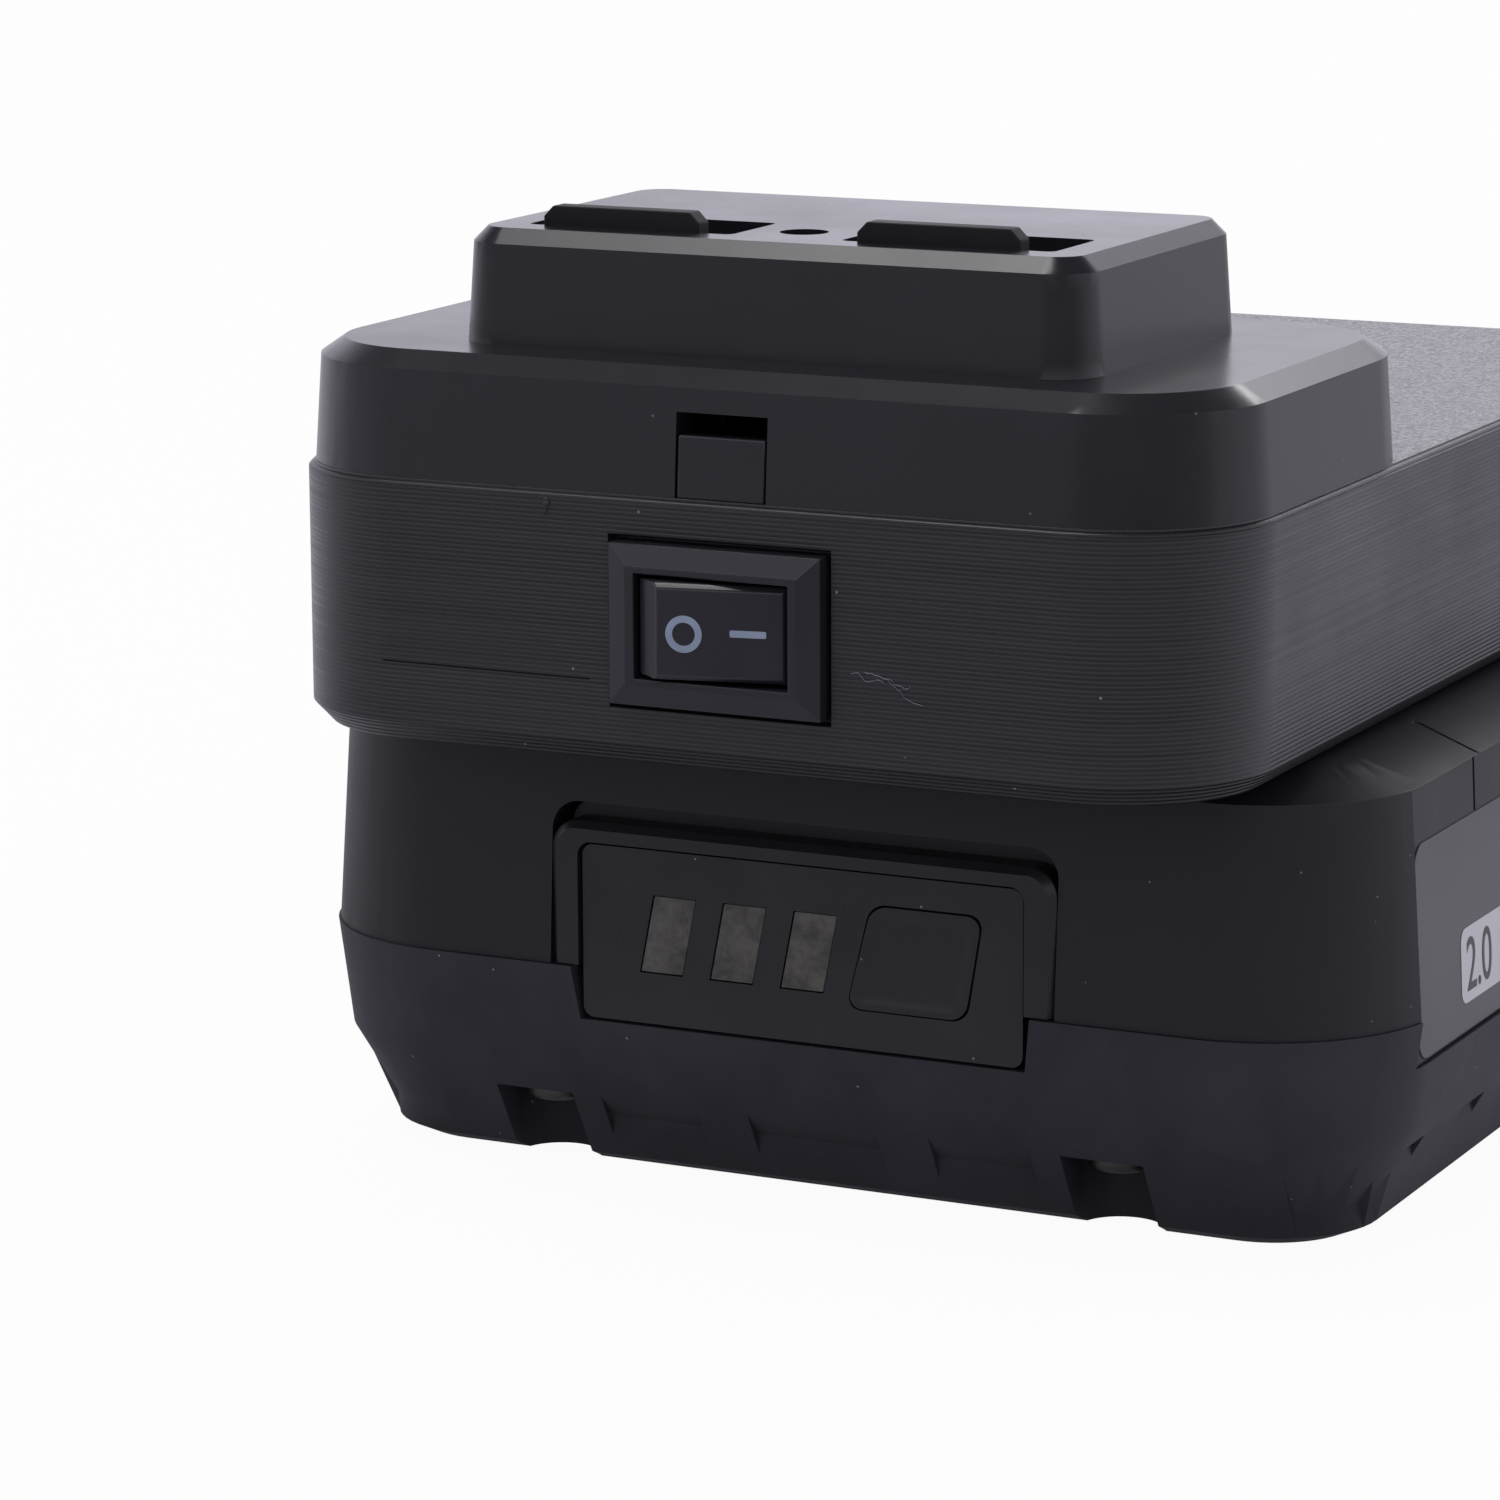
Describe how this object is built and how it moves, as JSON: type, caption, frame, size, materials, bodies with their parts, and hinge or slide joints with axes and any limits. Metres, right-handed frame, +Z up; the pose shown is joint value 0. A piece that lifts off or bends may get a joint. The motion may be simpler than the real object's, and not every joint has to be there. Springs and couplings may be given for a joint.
{
  "type": "tool battery usb adapter",
  "caption": "Slide-on adapter with a rocker switch and upright USB sockets under a stepped cover, seated on a rechargeable power tool battery pack.",
  "frame": {"origin": "on the surface that the pack stands on, below the middle of the battery pack", "axes": "+X across to the right seen from the gauge side, +Y from the gauge to the back, +Z up"},
  "size_m": [0.0804, 0.1266, 0.0668],
  "materials": {
    "printed_plastic": "layered satin",
    "cover_plastic": "satin",
    "pack_plastic": "fine spark texture",
    "foot_rubber": "matt",
    "gauge_plastic": "satin",
    "gauge_window": "translucent",
    "switch_plastic": "satin",
    "plug_rubber": "satin",
    "label_film": "satin",
    "cell_can": null,
    "holder_plastic": "matt",
    "nickel": "satin",
    "board": "satin",
    "contact_brass": "bright",
    "steel": "bright",
    "socket_steel": "bright",
    "tongue_plastic": "satin",
    "clear_plastic": "clear",
    "component_plastic": "matt"
  },
  "bodies": {
    "battery": {"lower_shell": "foot_rubber", "upper_shell": "pack_plastic", "gauge_bezel": "gauge_plastic", "gauge_panel": "gauge_plastic", "gauge_window_1": "gauge_window", "gauge_window_2": "gauge_window", "gauge_window_3": "gauge_window", "gauge_board": "board", "label_right": "label_film", "cell_1": "cell_can", "cell_2": "cell_can", "cell_3": "cell_can", "cell_4": "cell_can", "cell_5": "cell_can", "cell_holder": "holder_plastic", "nickel_strips_left": "nickel", "nickel_strips_right": "nickel", "management_board": "board", "battery_contacts": "contact_brass", "case_screws": "steel"},
    "adapter": {"printed_body": "printed_plastic", "snap_tab": "cover_plastic", "top_cover": "cover_plastic", "switch_frame": "switch_plastic", "switch_lugs": "contact_brass", "terminal_block": "holder_plastic", "terminal_blades": "contact_brass", "converter_board": "board", "board_screws": "steel", "usb_shell_left": "socket_steel", "usb_shell_right": "socket_steel", "usb_tongue_left": "tongue_plastic", "usb_tongue_right": "tongue_plastic", "usb_contacts_left": "contact_brass", "usb_contacts_right": "contact_brass", "light_pipe": "clear_plastic", "power_coil": "component_plastic", "capacitor_left": "component_plastic", "capacitor_right": "component_plastic", "regulator_chip": "component_plastic"},
    "rocker": {"rocker": "switch_plastic"},
    "dust_plug_left": {"dust_plug_left": "plug_rubber"},
    "dust_plug_right": {"dust_plug_right": "plug_rubber"},
    "gauge_button": {"gauge_button": "gauge_plastic"},
    "release_button": {"release_button": "pack_plastic"}
  },
  "joints": [
    {"name": "adapter_slide", "type": "slide", "parent": "battery", "child": "adapter", "axis": [0, -1, 0], "range_m": [0, 0.09]},
    {"name": "rocker_tip", "type": "hinge", "parent": "adapter", "child": "rocker", "pos_m": [0.0004, -0.06573, 0.04177], "axis": [0, 0, 1], "range_deg": [-22, 0]},
    {"name": "dust_plug_left_pull", "type": "slide", "parent": "adapter", "child": "dust_plug_left", "axis": [0, 0, 1], "range_m": [0, 0.012]},
    {"name": "dust_plug_right_pull", "type": "slide", "parent": "adapter", "child": "dust_plug_right", "axis": [0, 0, 1], "range_m": [0, 0.012]},
    {"name": "gauge_button_press", "type": "slide", "parent": "battery", "child": "gauge_button", "axis": [0, 1, 0], "range_m": [0, 0.0007], "stiffness_N_per_m": 400},
    {"name": "release_press", "type": "slide", "parent": "battery", "child": "release_button", "axis": [0, 0, -1], "range_m": [0, 0.0035], "stiffness_N_per_m": 600, "springref_m": -0.001}
  ]
}
